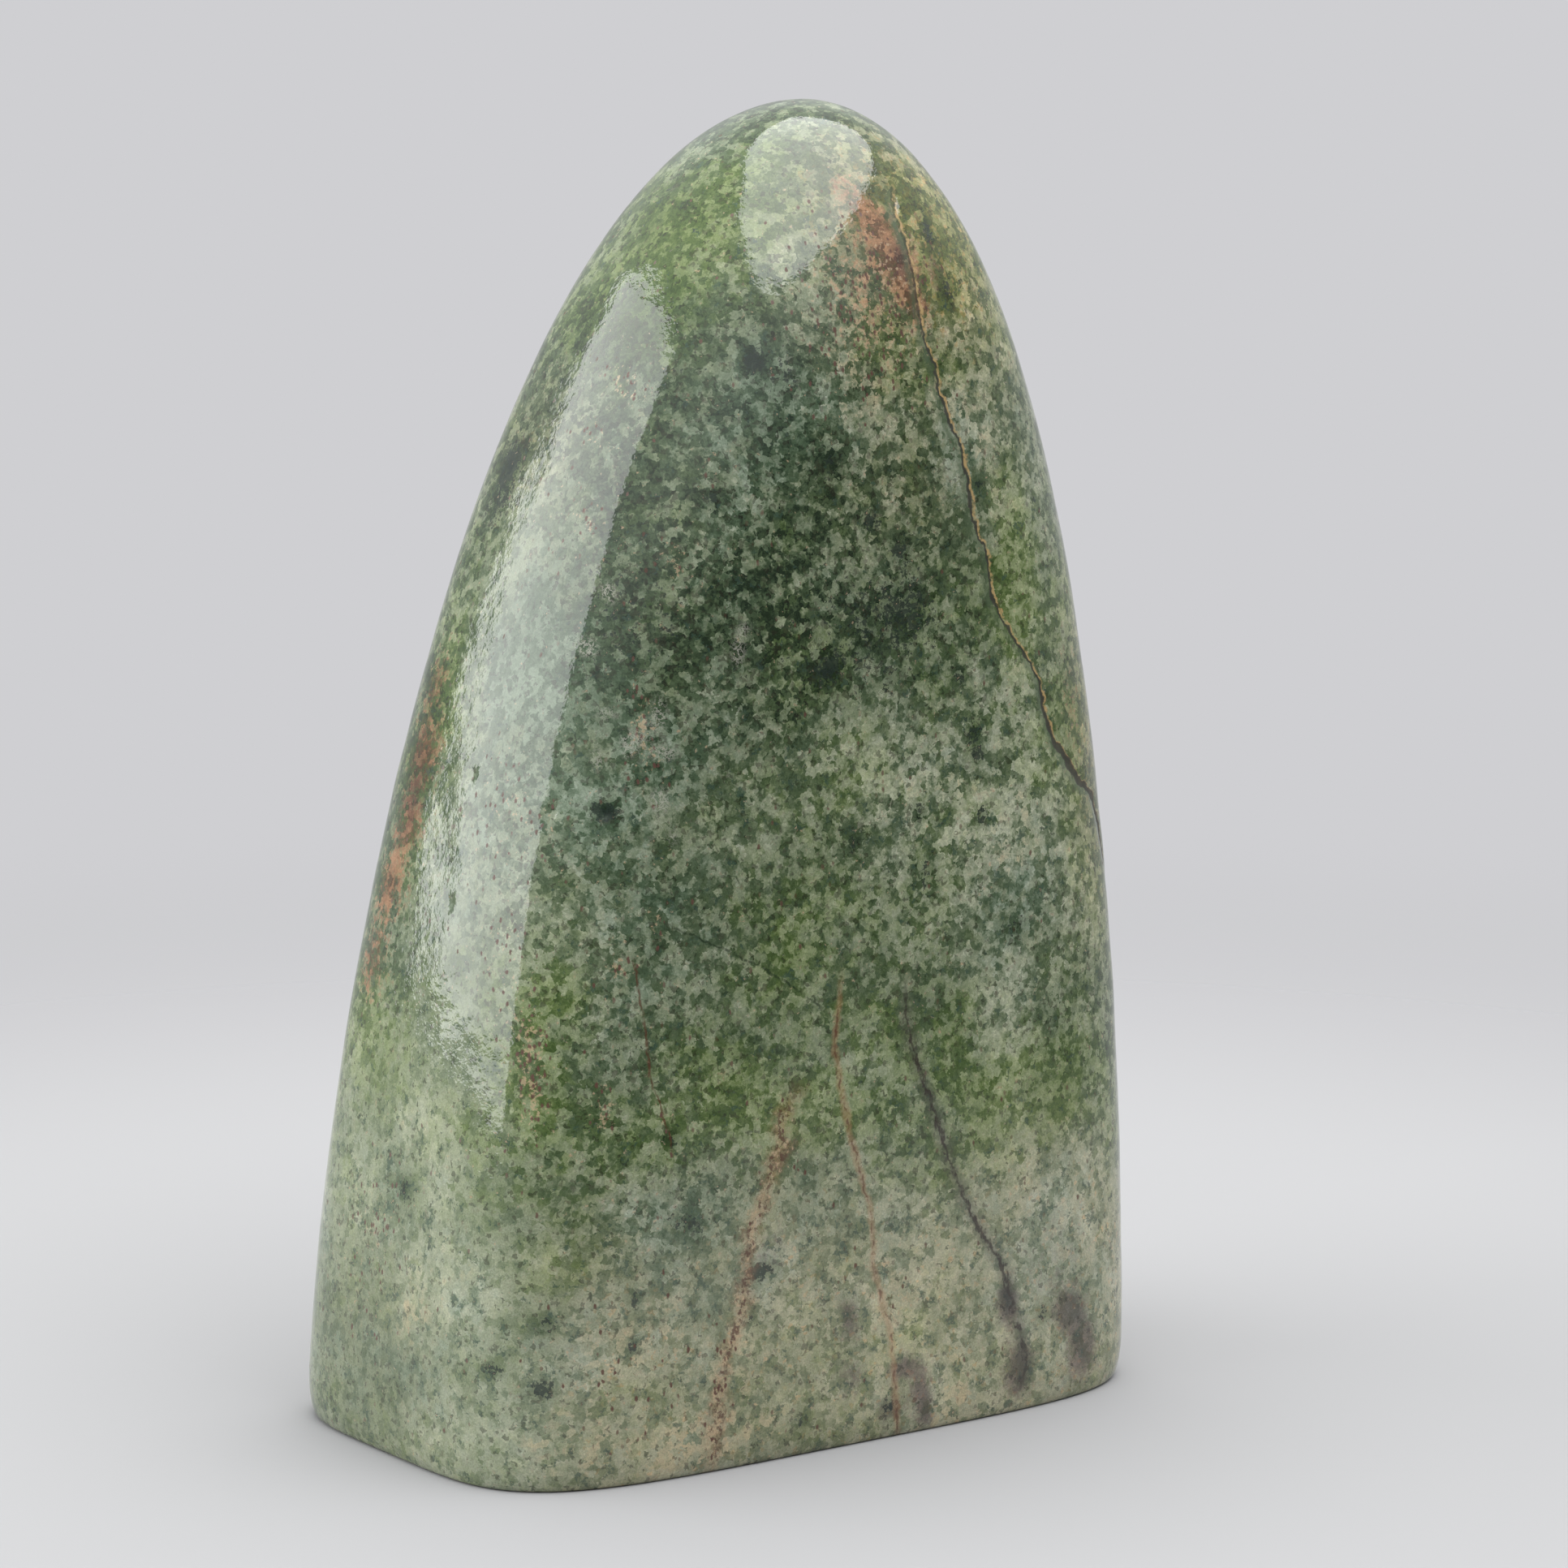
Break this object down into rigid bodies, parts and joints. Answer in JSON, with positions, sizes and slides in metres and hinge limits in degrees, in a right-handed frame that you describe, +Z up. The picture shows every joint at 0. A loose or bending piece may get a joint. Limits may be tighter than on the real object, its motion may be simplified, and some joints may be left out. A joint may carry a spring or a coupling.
{
  "type": "polished serpentine stone",
  "caption": "Polished free-standing serpentine stone, mottled green, flat underneath and rounded on top, for display on a desk, shelf or mantel.",
  "frame": {"origin": "middle of the flat base, on the surface the stone stands on", "axes": "+Z up towards the crown, +X along the broad faces towards the side that the crown leans to, +Y through the thickness towards the back"},
  "size_m": [0.0759, 0.0454, 0.122],
  "materials": {
    "serpentine": "polished smooth and glossy, with pale grains, thin cracks, tiny open pits and rust-stained seams"
  },
  "bodies": {
    "root": {"stone": "serpentine"}
  },
  "joints": []
}
